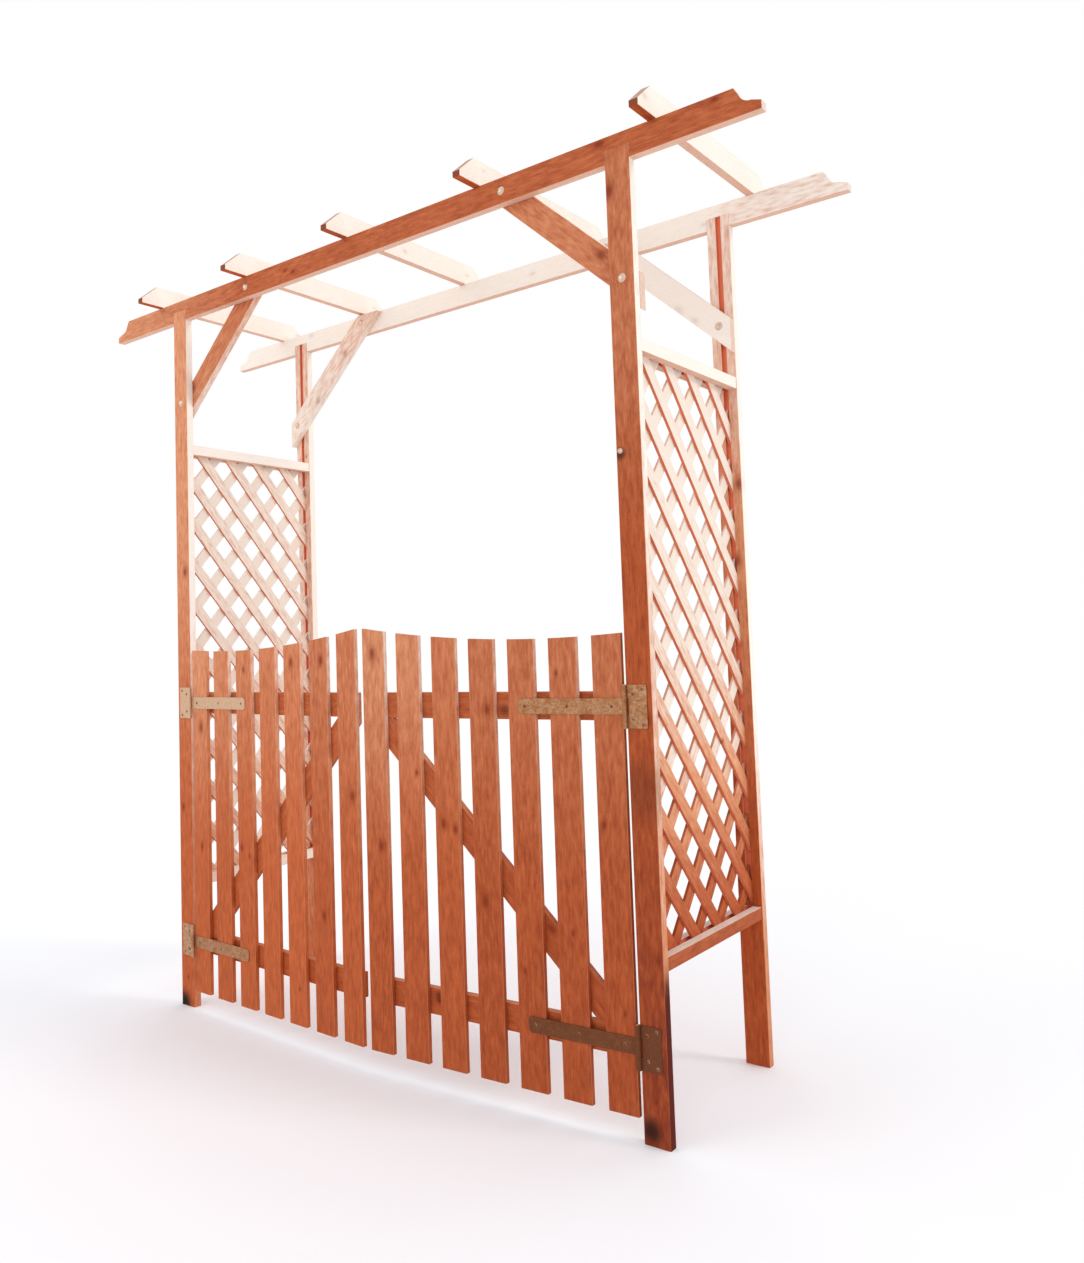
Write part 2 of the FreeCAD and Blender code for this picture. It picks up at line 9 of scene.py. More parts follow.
# %% Load the construction and keep its box
import math
import random
from functools import partial
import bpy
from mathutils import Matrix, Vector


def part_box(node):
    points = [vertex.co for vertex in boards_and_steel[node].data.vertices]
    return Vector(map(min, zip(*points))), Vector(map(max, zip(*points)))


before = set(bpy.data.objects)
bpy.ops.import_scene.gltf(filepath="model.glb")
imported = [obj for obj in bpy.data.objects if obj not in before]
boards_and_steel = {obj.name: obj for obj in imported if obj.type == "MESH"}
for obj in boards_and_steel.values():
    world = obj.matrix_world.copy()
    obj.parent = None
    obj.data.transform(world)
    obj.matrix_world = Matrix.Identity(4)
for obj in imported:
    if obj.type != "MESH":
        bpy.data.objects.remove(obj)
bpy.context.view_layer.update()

from types import SimpleNamespace

import bpy
import numpy as np
from mathutils import Matrix, Vector

mm = 1000.0  # in a metre

# %% [markdown]
# ## The camera
# The photograph was taken from the viewer's right, at eye height for someone who crouches a little, with the
# camera tipped up and leaning slightly. A camera could be aimed with a Track To constraint, but a lean and an
# exact place are easier to keep as plain angles. The horizon isn't in the middle of the picture, because the
# picture was cropped, and a small vertical shift of the lens does the same.

# %% The camera
camera_place = Vector((1.8495, -2.0121, 0.9915))
camera_turn = math.radians(36.50)  # anticlockwise from looking along +y
camera_tip = math.radians(3.68)  # upwards
camera_lean = math.radians(-2.06)
focal_px = 1020.83  # the focal length, in pixels of the photograph
photo_width_px, photo_height_px = 1084, 1263
lens_centre_px = 542.3, 578.8  # from the picture's left and top edges to the lens's axis
sensor_mm = 36.0

camera_data = bpy.data.cameras.new("camera")
camera_data.sensor_width = sensor_mm
camera_data.lens = sensor_mm * focal_px / photo_height_px
camera_data.shift_x = (photo_width_px / 2 - lens_centre_px[0]) / photo_height_px
camera_data.shift_y = (lens_centre_px[1] - photo_height_px / 2) / photo_height_px
camera = bpy.data.objects.new("camera", camera_data)
bpy.context.scene.collection.objects.link(camera)
ahead = Vector((
    -math.sin(camera_turn) * math.cos(camera_tip),
    math.cos(camera_turn) * math.cos(camera_tip),
    math.sin(camera_tip),
))
level_right = Vector((math.cos(camera_turn), math.sin(camera_turn), 0))
level_up = level_right.cross(ahead)
right = level_right * math.cos(camera_lean) + level_up * math.sin(camera_lean)
up = level_up * math.cos(camera_lean) - level_right * math.sin(camera_lean)
camera.matrix_world = Matrix.Translation(camera_place) @ Matrix((right, up, -ahead)).transposed().to_4x4()
bpy.context.scene.camera = camera
lens_shift = round(camera_data.shift_x, 4), round(camera_data.shift_y, 4)
print("lens", round(camera_data.lens, 2), "mm, shift", *lens_shift)

# %% [markdown]
# ## Colours and nodes
# A colour picked by eye is an sRGB hex value, but a renderer adds and multiplies light, so it needs linear
# numbers. One function does that turn for every colour here. A second one adds a shader node, sets it and
# links it, and hands back the socket that the next node reads, so that a material reads from top to bottom.
# A third one empties a material, and hands back the second one ready for it.


# %% The helpers that every material uses
def colour(hex_value):
    """Turn an sRGB hex value, such as "c4683f", into linear red, green, blue and alpha."""
    shares = [int(hex_value[i:i + 2], 16) / 255 for i in (0, 2, 4)]
    linear = [s / 12.92 if s <= 0.04045 else ((s + 0.055) / 1.055) ** 2.4 for s in shares]
    return (*linear, 1.0)


def add_node(tree, kind, inputs, out=0, **settings):
    """Add a node, set its own settings, fill its inputs with values or links, and return one output."""
    node = tree.nodes.new("ShaderNode" + kind)
    for name, value in settings.items():
        setattr(node, name, value)
    for socket, value in inputs.items():
        if isinstance(value, bpy.types.NodeSocket):
            tree.links.new(value, node.inputs[socket])
        else:
            node.inputs[socket].default_value = value
    return node.outputs[out] if node.outputs else None


def empty_nodes(owner):
    """Empty a material's or the world's node tree, and return a function that adds nodes to it."""
    owner.use_nodes = True
    owner.node_tree.nodes.clear()
    return partial(add_node, owner.node_tree)


soft = {"interpolation_type": "SMOOTHSTEP"}  # a ramp, or Map Range, that starts and ends softly
falling = {3: 1.0, 4: 0.0}  # a ramp from 1 down to 0; its limits are inputs 1 and 2
blend = {"data_type": "RGBA"}  # a Mix of colours, which are its inputs 6 and 7 and its output 2
kinds_of_sum = ("ADD", "SUBTRACT", "MULTIPLY", "MULTIPLY_ADD")
plus, minus, times, times_plus = [{"operation": kind} for kind in kinds_of_sum]
print("glaze, linear:", [round(x, 3) for x in colour("c4683f")])

# %% [markdown]
# ## How each board lies
# Wood grain runs along a board, so the shader has to know each board's own directions. They could be painted
# into a UV map, but the meshes aren't to be changed. Instead each board is measured: its two largest pairs of
# sides are found by area, and the way square to both is the grain's. The numbers are kept on the object as
# properties, and one shared material reads them with Attribute nodes. So the gate's twenty boards share one
# material, and each still has its own grain.

# %% Measure the boards
same_way = 0.999  # cosine between two normals that count as one side
square = 0.05  # cosine under which two sides count as square to each other
first_by = np.array((1, 0.1, 0.01))  # of two opposite sides, the one nearer +x counts, then +y, then +z
timber = ("beam", "post", "brace", "rafter", "trellis", "laths", "picket", "rail", "diagonal")
metal = ("screw", "bolt", "hinge")


def sides_of(piece):
    """Return the piece's vertices, its faces' normals and its faces' areas."""
    mesh = piece.data
    points = np.array([v.co for v in mesh.vertices])
    normals = np.array([p.normal for p in mesh.polygons])
    areas = np.array([p.area for p in mesh.polygons])
    return points, normals, areas


def largest_side(normals, areas, square_to):
    """Return the unit normal of the largest pair of sides, square to the given way if one is given."""
    open_to = np.ones(len(areas), bool) if square_to is None else abs(normals @ square_to) < square
    facing = np.where((normals @ first_by)[:, None] < 0, -normals, normals)
    names, which = np.unique(np.round(facing, 2), axis=0, return_inverse=True)
    sums = np.bincount(which.ravel(), areas * open_to)
    side = names[sums.argmax()]
    near = (facing @ (side / np.linalg.norm(side)) > same_way) & open_to
    mean = (facing[near] * areas[near, None]).sum(0)
    return mean / np.linalg.norm(mean)


def measure(piece):
    """Keep on a board its middle, in metres, and the ways along, across and through it."""
    points, normals, areas = sides_of(piece)
    through = largest_side(normals, areas, None)
    across = largest_side(normals, areas, through)
    along = np.cross(across, through)
    along *= np.sign(along[np.abs(along).argmax()])
    middle = np.zeros(3)
    half_size = []
    for key, way in (("along", along), ("across", across), ("through", through)):
        places = points @ way
        middle += way * (places.min() + places.max()) / 2
        half_size.append(mm / 2 * (places.max() - places.min()))
        piece[key] = way.tolist()
    piece["middle"] = middle.tolist()
    return Vector(half_size)


boards = {
    name: piece for name, piece in boards_and_steel.items()
    if any(word in name for word in timber) and not any(word in name for word in metal)
}
half_sizes = {name: measure(piece) for name, piece in boards.items()}
for name in ("front_beam", "right_front_brace", "left_picket_1", "right_trellis_falling_laths"):
    along = [round(x, 3) for x in boards[name]["along"]]
    print(name, along, "half sizes, mm", [round(x) for x in half_sizes[name]])

# %% [markdown]
# ## What makes one board differ from the next
# Knots are where branches left the heart of the tree. Those on the front, where the real ones can be seen,
# are put in their real places. Some boards also drank more of the glaze than others, and where that can be
# seen, it is written down too.

# %% Knots in their real places, and how deep the glaze is
# Height above the ground, place towards +x from the board's middle, and radius, all mm
upright_knots = {
    "left_picket_1": [(790, 5, 7), (456, 4, 5)],
    "left_picket_2": [],
    "left_picket_3": [(952, 2, 3.5), (471, -18, 5), (452, 16, 3)],
    "left_picket_4": [],
    "left_picket_5": [(968, -3, 6), (140, 9, 3)],
    "left_picket_6": [(972, 12, 6), (338, 6, 6)],
    "left_picket_7": [(640, 17, 6)],
    "right_picket_7": [(984, -2, 8), (529, 14, 7)],
    "right_picket_6": [(705, 22, 3)],
    "right_picket_5": [(593, -11, 6), (582, 23, 5)],
    "right_picket_4": [(852, 15, 7), (430, -7, 8)],
    "right_picket_3": [(296, -14, 4)],
    "right_picket_2": [(930, -16, 3.5), (390, 3, 3.5)],
    "right_picket_1": [(245, 12, 3), (618, -20, 5)],
    "right_front_post": [(1933, -21, 8), (832, 18, 5), (362, 19, 4), (87, 1, 3)],
    "left_front_post": [(1240, 10, 6), (560, -12, 5), (81, 0, 3)],
}
# How deep the glaze of some boards is, from -1, thin, to 1, thick
glaze_depth = {
    "right_front_post": 0.9, "left_front_post": -0.8, "right_rear_post": -0.4, "left_rear_post": -0.6,
    "front_beam": 0.4, "left_front_brace": 0.3, "right_front_brace": 0.0,
    "right_upper_rail": 0.6, "right_diagonal": 0.5, "right_trellis_bottom_rail": 0.6,
    "left_picket_2": -0.4, "left_picket_4": -0.8, "left_picket_5": -0.9, "left_picket_7": 0.0,
    "right_picket_1": 1.0, "right_picket_5": 0.0, "right_picket_6": 0.0, "right_picket_7": 0.2,
}
print("knots placed by hand:", sum(len(knots) for knots in upright_knots.values()))

# %% [markdown]
# Boards come from different logs, and from different depths in a log. So each gets its own pith, the log's
# heart line that its year rings run round, and the hidden boards get knots too. All of that is drawn by a
# random generator seeded with the board's name, which gives the same boards on every run, and leaves the
# others alone when one is changed.

# %% Give each board its log, its pith and its knots
lath_pitch = 77.5  # from lath to lath, mm
wide_lane = 10000.0  # a lane wider than any board, for nodes that hold a single board, mm
knot_count = 4  # how many knots the material looks for
no_knot = (0.0, 0.0, 0.01)  # too small to show
knot_every = 360.0  # mm of a hidden board's length for each knot, on average
knot_luck = -0.4, 0.6  # how many knots a board may have less or more than that, before rounding
knot_area = 0.92, 0.8  # the shares of a hidden board's length and width where knots are drawn
lath_knot = 2.0, 3.6  # least and largest radius, mm
board_knot = 2.5, 9, 4  # least, largest and most usual radius, mm
noise_span = 50  # how far apart the logs' noise may lie
ring_lean = 0.016  # how far the rings lean away from the board's length at most, mm a mm
ring_share = 0.86, 1.16  # how wide a board's rings are, of the usual width
pith_aside = 45  # how far the pith is from the board's middle across it at most, mm
pith_depth = 18, 70  # how far it is from the board's middle through it, mm


def knots_of(name, piece, draw):
    """Return a board's knots as (along, across, radius) from its middle, mm."""
    middle = Vector(piece["middle"]) * mm
    along, across = Vector(piece["along"]), Vector(piece["across"])
    half = half_sizes[name]
    if name in upright_knots:
        return [
            ((height - middle.z) / along.z, across.x * sideways, radius)
            for height, sideways, radius in upright_knots[name]
        ]
    knots = []
    for _ in range(round(half.x * 2 / knot_every + draw.uniform(*knot_luck))):
        place = [draw.uniform(-share, share) * size for share, size in zip(knot_area, half)]
        radius = draw.uniform(*lath_knot) if "laths" in name else draw.triangular(*board_knot)
        knots.append((*place, radius))
    return knots[:knot_count]


def lath_phase(piece):
    """Return where the laths' centre lines lie across their lanes, from the long edges of the laths, mm."""
    points, normals, _ = sides_of(piece)
    across = np.array(piece["across"])
    on_edge = abs(normals @ across) > same_way
    places = (np.array([p.center for p in piece.data.polygons])[on_edge] - np.array(piece["middle"])) @ across
    turns = np.exp(2j * np.pi * places * mm / lath_pitch)
    return float(np.angle(turns.sum()) / (2 * np.pi) * lath_pitch)


for name, piece in boards.items():
    draw = random.Random(name)
    piece["log"] = [
        draw.uniform(0, noise_span), draw.uniform(-ring_lean, ring_lean), draw.uniform(*ring_share),
    ]
    aside = draw.uniform(-pith_aside, pith_aside)
    piece["pith"] = [0.0, aside, draw.choice((-1, 1)) * draw.uniform(*pith_depth)]
    drawn_depth = draw.uniform(-1, 1)
    piece["tone"] = glaze_depth.get(name, drawn_depth)
    piece["lane"] = [lath_pitch, lath_phase(piece), 0.0] if "laths" in name else [wide_lane, 0.0, 0.0]
    knots = knots_of(name, piece, draw)
    for i in range(knot_count):
        piece["knot_" + str(i + 1)] = list(knots[i] if i < len(knots) else no_knot)
print("knots on", sum(1 for p in boards.values() if p["knot_1"][2] > 1), "of", len(boards), "boards")
print("lath phases", {n: round(p["lane"][1], 1) for n, p in boards.items() if "laths" in n})

# %% [markdown]
# ## Fading and stains
# The sun comes from behind on the viewer's right. The boards of the rear frame, the rafters and the trellis,
# and everything's right-hand and upper sides, are pale: partly glaze that the sun has bleached, and partly
# painted sunlight and glare. Low down the boards keep their dark glaze, which there also stands for painted
# shade. A lamp alone can't show the bleaching, because it leaves when the light changes, and the bleaching
# stays. So each board keeps how pale it is and between which heights that grows. What the sun never reaches
# has kept its glaze whole: the grooves that hold the laths. Painted shade keeps dark the edge of a picket
# that hangs close to its post, the rafters' undersides in front of the front beam, and, in part, the rear
# beam's right-hand end, where the last rafter's shadow falls.

# %% How much each board has faded, and how much painted light it has
# How pale each board is on all sides, by faded glaze and by painted sunlight and glare, and the heights in
# metres where that starts and is complete; below them its dark glaze also stands for painted shade
fading = {
    "beam": (0.10, 0.0, 1.3), "post": (0.10, 0.0, 1.35), "brace": (0.24, 0.0, 1.3),
    "rafter": (0.80, 0.0, 1.3), "picket": (0.20, 0.25, 1.05), "diagonal": (0.10, 0.0, 1.0),
    "rail": (0.10, 0.0, 1.0),
    "left_front_post": (0.19, 0.2, 1.6), "left_front_brace": (0.16, 0.0, 1.3),
    "right_front_post": (0.21, 1.0, 1.7),
    "rear_beam": (1.05, 0.0, 1.3), "rear_brace": (1.05, 0.0, 1.3), "left_rear_brace": (0.66, 0.0, 1.3),
    "left_rear_post": (0.49, -0.3, 0.9), "right_rear_post": (0.72, 0.20, 2.10),
    "left_picket": (0.21, 0.25, 1.05),
    "right_picket_7": (0.34, 0.25, 1.05), "right_picket_6": (0.30, 0.3, 1.05),
    "left_trellis_falling": (0.42, -0.5, 0.2), "left_trellis": (0.90, -0.5, 0.2),
    "right_trellis_rising": (0.50, 0.45, 0.95), "right_trellis_falling": (0.12, 1.10, 1.40),
    "right_trellis_top": (0.75, 0.4, 1.1), "right_trellis_bottom": (0.04, -0.3, 0.3),
}
# How much painted sunlight reaches a board's sides that face the sun, where that isn't 1; 0 is painted shade
sun_reaches = {
    "right_picket_1": 0.0, "left_picket_1": 0.0, "right_trellis_bottom_rail": 1.6, "left_front_brace": 4.0,
    "right_rear_post": 1.2, "left_trellis_falling_laths": 0.3,
}
right_end_kept = {"rear_beam": 0.25}  # painted shadow of the last rafter: how much less pale the right-hand end is kept
beam_low, beam_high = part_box("front_beam")
sheltered_to = (beam_low[1] + beam_high[1]) / 2  # painted shade: the rafters' undersides stay dark up to this y, in the front beam's shade
unsheltered = -9.0  # a y in front of everything, so no painted shade
groove_skin = 1.5  # a point this deep under both pairs of a grooved board's sides is in its groove, mm
grooved = ("post", "top_rail", "bottom_rail")

for name, piece in boards.items():
    piece["fading"] = list(max(((len(words), row) for words, row in fading.items() if words in name))[1])
    piece["sun_reach"] = sun_reaches.get(name, 1.0)
    piece["right_end_kept"] = right_end_kept.get(name, 0.0)
    piece["sheltered_to"] = sheltered_to if "rafter" in name else unsheltered
    piece["groove"] = [size - groove_skin if name.endswith(grooved) else 0.0 for size in half_sizes[name]]
print("faded boards", sum(1 for p in boards.values() if p["fading"][0] > 0.4))

# %% [markdown]
# Near the ground the boards are darker, most of all the front post on the right, whose right-hand side there
# is painted shade. A few places are dark for a reason of their own, such as a wet foot or a rusting screw,
# and a board keeps these one by one.

# %% The darkening low down, and the dark marks
# Middle of the mark and its reach, all metres, and its strength
dark_marks = {
    "right_front_post": [
        (0.757, -0.2405, 0.029, 0.034, 0.9),  # the foot
        (0.749, -0.2405, 1.376, 0.018, 0.8),  # round the single screw
        (0.768, -0.2405, 0.693, 0.085, 0.32),  # wide and faint
    ],
    "left_front_post": [(-0.790, -0.2405, 0.010, 0.044, 1.0)],
    "right_upper_rail": [(0.425, -0.245, 0.850, 0.018, 0.6)],
    "right_lower_rail": [(0.215, -0.256, 0.200, 0.016, 0.6)],
}
no_mark = (0.0, 0.0, -9.0, 0.001, 0.0)  # far below the ground
mark_count = 3
# How much darker a board is low down; on its right-hand sides that is painted shade
soiled = {"right_front_post": 1.0, "right_picket": 0.14, "left": -0.12}
soiled_else = 0.12  # how much darker the other boards are low down, from 0, hardly, to 1, wholly

for name, piece in boards.items():
    piece["soiled"] = max([amount for words, amount in soiled.items() if words in name], default=soiled_else)
    marks = dark_marks.get(name, [])
    for i in range(mark_count):
        x, y, z, reach, strength = marks[i] if i < len(marks) else no_mark
        piece["mark_" + str(i + 1)] = [x, y, z]
        piece["mark_size_" + str(i + 1)] = [reach, strength, 0.0]
print("boards with dark marks", len(dark_marks))

# %% [markdown]
# ## Glazed pine
# Pine has wide pale earlywood and a thin dark line of latewood in each year ring. A sawn board cuts those
# rings as stripes on its faces and as arcs on its ends. A flat picture of grain would never meet at the
# corners, so the material works out the distance to the board's pith at every point of the solid: one formula
# draws the faces, the edges and the ends, and they match. The material is built in steps, a function for
# each. The first finds where the point is: in metres for what comes from outside, such as painted sunlight,
# painted shade and dark marks, and in millimetres along, across and through the board for what comes from the
# wood.

# %% Where a point lies in its board
lath_apart = 7.31  # how far apart the noise of one lath and the next one's lie


def point_in_board(add):
    """Return the point's place and facing, its place in its board, and all that the board keeps."""
    at = SimpleNamespace()
    at.spot = add("TexCoord", {}, "Object")
    at.facing = at.spot.node.outputs["Normal"]
    for key in ("middle", "along", "across", "through", "log", "pith", "lane", "fading", "groove"):
        kept = add("Attribute", {}, "Vector", attribute_type="OBJECT", attribute_name=key)
        setattr(at, key, kept)
    for key in ("tone", "soiled", "sun_reach", "sheltered_to", "right_end_kept"):
        kept = add("Attribute", {}, "Fac", attribute_type="OBJECT", attribute_name=key)
        setattr(at, key, kept)
    at.x, at.y, at.z = add("SeparateXYZ", {0: at.spot}).node.outputs
    at.facing_x, _, at.facing_z = add("SeparateXYZ", {0: at.facing}).node.outputs

    # The point in the board's own ways, mm
    off = add("VectorMath", {0: at.spot, 1: at.middle}, **minus)
    off = add("VectorMath", {0: off, "Scale": mm}, operation="SCALE")
    at.u, at.v, at.w = [
        add("VectorMath", {0: off, 1: way}, "Value", operation="DOT_PRODUCT")
        for way in (at.along, at.across, at.through)
    ]

    # A node of many laths is cut into lanes, one a lath, and each lane is a board of its own
    lane_width, phase, _ = add("SeparateXYZ", {0: at.lane}).node.outputs
    from_phase = add("Math", {0: at.v, 1: phase}, **minus)
    lane = add("Math", {0: from_phase, 1: lane_width}, operation="DIVIDE")
    lane = add("Math", {0: lane}, operation="ROUND")
    lane_middle = add("Math", {0: lane, 1: lane_width}, **times)
    at.in_lane = add("Math", {0: from_phase, 1: lane_middle}, **minus)
    log, at.ring_lean, at.ring_share = add("SeparateXYZ", {0: at.log}).node.outputs
    at.seed = add("Math", {0: lane, 1: lath_apart, 2: log}, **times_plus)
    return at


print("noise of the laths lies", lath_apart, "apart")

# %% [markdown]
# Nothing in wood is even, so five patterns of noise stand for what is uneven in it. All are drawn out along
# the board, because fibres, rings and brush strokes run that way. Noise in four dimensions takes the board's
# own number as its fourth, so that no two boards are alike.

# %% The uneven patterns
# Length along the board and width across it, in mm, how fine its detail is, and what sets it apart
patterns = {
    "fibre": (85.0, 1.5, 3.0, 9.1),
    "blotch": (150.0, 38.0, 2.0, 5.3),  # where the wood drank more of the glaze or less
    "speckle": (11.0, 8.0, 2.0, 2.2),  # small patches where the brush left more glaze or less
    "ragged": (9.0, 4.0, 2.0, 3.7),  # the uneven rim of a knot or a stain
    "drift": (420.0, 55.0, 2.0, 0.0),  # how the rings wander
}


def board_noise(add, at, pattern):
    """Return noise from 0 to 1 that is drawn out along the board."""
    length, width, detail, shift = patterns[pattern]
    scale = (1 / length, 1 / width, 1 / width)
    squeezed = add("CombineXYZ", {0: at.u, 1: at.in_lane, 2: at.w})
    squeezed = add("VectorMath", {0: squeezed, 1: scale}, **times)
    squeezed = add("VectorMath", {0: squeezed, 1: (shift, shift, shift)}, **plus)
    return add("TexNoise", {0: squeezed, "W": at.seed, "Detail": detail}, noise_dimensions="4D")


print("pattern sizes, mm", {name: size[:2] for name, size in patterns.items()})

# %% [markdown]
# A knot's own wood is dark and hard, and the year rings bend round it, as water does round a stone. Sawn
# across at a slant, it is longer along the board than across it. The material measures how many radii the
# point is from the nearest knot, and both the dark core and the bent rings follow from that one number.

# %% Knots
knot_stretch = 0.60  # how wide a knot is, of its length
core_ends = {1: 0.3, 2: 1.5, **falling}  # in radii from the middle, where the core starts to end and is over
round_ends = {1: 0.8, 2: 3.0, **falling}  # the same for the wood that bends round it
raggedness = 0.7  # how far the rim wanders, in radii


def add_knots(add, at):
    """Give the point how far it is in a knot's core and in the wood round a knot, both from 0 to 1."""
    nearness = None
    for i in range(knot_count):
        key = "knot_" + str(i + 1)
        knot = add("Attribute", {}, "Vector", attribute_type="OBJECT", attribute_name=key)
        knot_u, knot_v, radius = add("SeparateXYZ", {0: knot}).node.outputs
        from_u = add("Math", {0: at.u, 1: knot_u}, **minus)
        from_u = add("Math", {0: from_u, 1: knot_stretch}, **times)
        from_v = add("Math", {0: at.v, 1: knot_v}, **minus)
        away = add("CombineXYZ", {0: from_u, 1: from_v})
        away = add("VectorMath", {0: away}, "Value", operation="LENGTH")
        away = add("Math", {0: away, 1: radius}, operation="DIVIDE")
        if nearness is not None:
            away = add("Math", {0: nearness, 1: away}, operation="MINIMUM")
        nearness = away
    at.ragged = board_noise(add, at, "ragged")
    at.ragged = add("Math", {0: at.ragged, 1: raggedness, 2: -raggedness / 2}, **times_plus)
    nearness = add("Math", {0: nearness, 1: at.ragged}, **plus)
    at.in_knot, at.round_knot = [
        add("MapRange", {0: nearness, **ends}, **soft) for ends in (core_ends, round_ends)
    ]


print("the material looks for", knot_count, "knots on a board")

# %% [markdown]
# The year rings are circles round the pith, so a ring's number is the distance from the pith, divided by how
# much the tree grew in a year. The pith leans a little, the rings wander, and knots push them aside. Within a
# ring the wood gets darker from spring to autumn, and ends sharply where the winter stopped it. Rings and
# fibres show through the glaze, and it is darkest where the wood drank most of it.

# %% Year rings and grain
ring_width = 3.2  # from one year ring to the next, mm
ring_drift = 11.0  # how far the rings wander along a board, mm
knot_bend = 14.0  # how far the rings bend round a large knot, mm
summer = {1: 0.30, 2: 0.86}  # the shares of the year where latewood starts and is darkest
winter = {1: 0.90, 2: 1.0, **falling}  # the shares where it stops and is over
# How strongly each thing shows in the grain, or in how dark the glaze is in all, and what comes off again
late_shows, fibre_shows, speckle_shows, grain_less = 0.15, 0.13, 0.55, 0.05
blotch_shows, depth_shows, dark_less = 1.1, 0.17, 0.42


def add_year_rings(add, at):
    """Give the point how much latewood it is, from 0 to 1."""
    _, pith_v, pith_w = add("SeparateXYZ", {0: at.pith}).node.outputs
    lean = add("Math", {0: at.u, 1: at.ring_lean}, **times)
    ring_v = add("Math", {0: at.in_lane, 1: pith_v}, **minus)
    ring_v = add("Math", {0: ring_v, 1: lean}, **minus)
    ring_w = add("Math", {0: at.w, 1: pith_w}, **minus)
    ring_w = add("Math", {0: ring_w, 1: lean}, **plus)
    radius = add("CombineXYZ", {0: ring_v, 1: ring_w})
    radius = add("VectorMath", {0: radius}, "Value", operation="LENGTH")
    drift = board_noise(add, at, "drift")
    radius = add("Math", {0: drift, 1: ring_drift, 2: radius}, **times_plus)
    radius = add("Math", {0: at.round_knot, 1: knot_bend, 2: radius}, **times_plus)
    growth = add("Math", {0: at.ring_share, 1: ring_width}, **times)
    year = add("Math", {0: radius, 1: growth}, operation="DIVIDE")
    year = add("Math", {0: year}, operation="FRACT")
    darkens = add("MapRange", {0: year, **summer}, **soft)
    stops = add("MapRange", {0: year, **winter}, **soft)
    at.late = add("Math", {0: darkens, 1: stops}, **times)


def add_grain(add, at):
    """Give the point its grain, from 0 to 1 on a ring in a dark speck, and how dark it is in all."""
    at.fibre, at.blotch, speckle = [board_noise(add, at, name) for name in ("fibre", "blotch", "speckle")]
    grain = add("Math", {0: at.late, 1: late_shows, 2: -grain_less}, **times_plus)
    grain = add("Math", {0: at.fibre, 1: fibre_shows, 2: grain}, **times_plus)
    at.grain = add("Math", {0: speckle, 1: speckle_shows, 2: grain}, **times_plus, use_clamp=True)
    dark = add("Math", {0: at.blotch, 1: blotch_shows, 2: at.grain}, **times_plus)
    dark = add("Math", {0: at.tone, 1: depth_shows, 2: dark}, **times_plus)
    at.dark = add("Math", {0: dark, 1: -dark_less}, **plus, use_clamp=True)


print("year rings", ring_width, "mm apart")

# %% [markdown]
# Now what comes from outside. A side that looks down is in the shade of the board itself, and a point deep
# between two pairs of sides can only be in a groove. The rest is paler, partly as faded glaze and partly as
# painted sunlight: all round by what the board keeps, more towards the left of the arch, which is painted
# light, and on top of that wherever it faces the sun. Undersides get a paleness of their own, which is
# painted light. Old glaze goes in patches, so the blotches take part.

# %% Shelter, fading and painted light
sun_way = Vector((0.80, 0.22, 0.56)).normalized()
paler_left = {1: -0.45, 2: -1.10, 4: 0.30}  # painted light: from and to these x, in metres, boards are painted this much paler
right_end = {1: 0.72, 2: 0.79}  # painted shadow: the x, in metres, where the rear beam's darker right-hand end starts and is whole
upward = {1: 0.6, 2: 0.9}  # z of the normals between which a side becomes a top, which the sun always reaches
down_softness = 0.2  # of a normal's z, over which a side becomes an underside
patch_contrast, patch_most = 0.8, 1.4  # how unevenly the glaze fades, and how much where it fades most


def add_shelter(add, at, below_from):
    """Give the point how far it looks down, and whether it is inside a groove or outside one."""
    limits = {1: below_from - down_softness, 2: below_from, **falling}
    at.down = add("MapRange", {0: at.facing_z, **limits}, **soft)
    _, across, through = add("SeparateXYZ", {0: at.groove}).node.outputs
    at.inside = 1.0
    for depth, limit in ((at.v, across), (at.w, through)):
        depth = add("Math", {0: depth}, operation="ABSOLUTE")
        depth = add("Math", {0: depth, 1: limit}, operation="LESS_THAN")
        at.inside = add("Math", {0: depth, 1: at.inside}, **times)
    at.outside = add("Math", {0: 1.0, 1: at.inside}, **minus)


def faded_all_round(add, at):
    """Return how pale the board is at this height, by fading and painted light, and towards its left or
    right-hand end.
    """
    faded, starts, complete = add("SeparateXYZ", {0: at.fading}).node.outputs
    upper = add("MapRange", {0: at.z, 1: starts, 2: complete}, **soft)
    open_side = add("Math", {0: 1.0, 1: at.down}, **minus)
    all_round = add("Math", {0: faded, 1: open_side}, **times)
    # Painted light: boards towards the left of the arch are painted paler
    left = add("MapRange", {0: at.x, **paler_left})
    left = add("Math", {0: left, 1: open_side}, **times)
    all_round = add("Math", {0: all_round, 1: left}, **plus)
    # Painted shadow: the last rafter's shadow keeps the rear beam's right-hand end less pale
    kept = add("MapRange", {0: at.x, **right_end}, **soft)
    kept = add("Math", {0: kept, 1: at.right_end_kept}, **times)
    all_round = add("Math", {0: all_round, 1: kept}, **minus)
    return add("Math", {0: all_round, 1: upper}, **times)


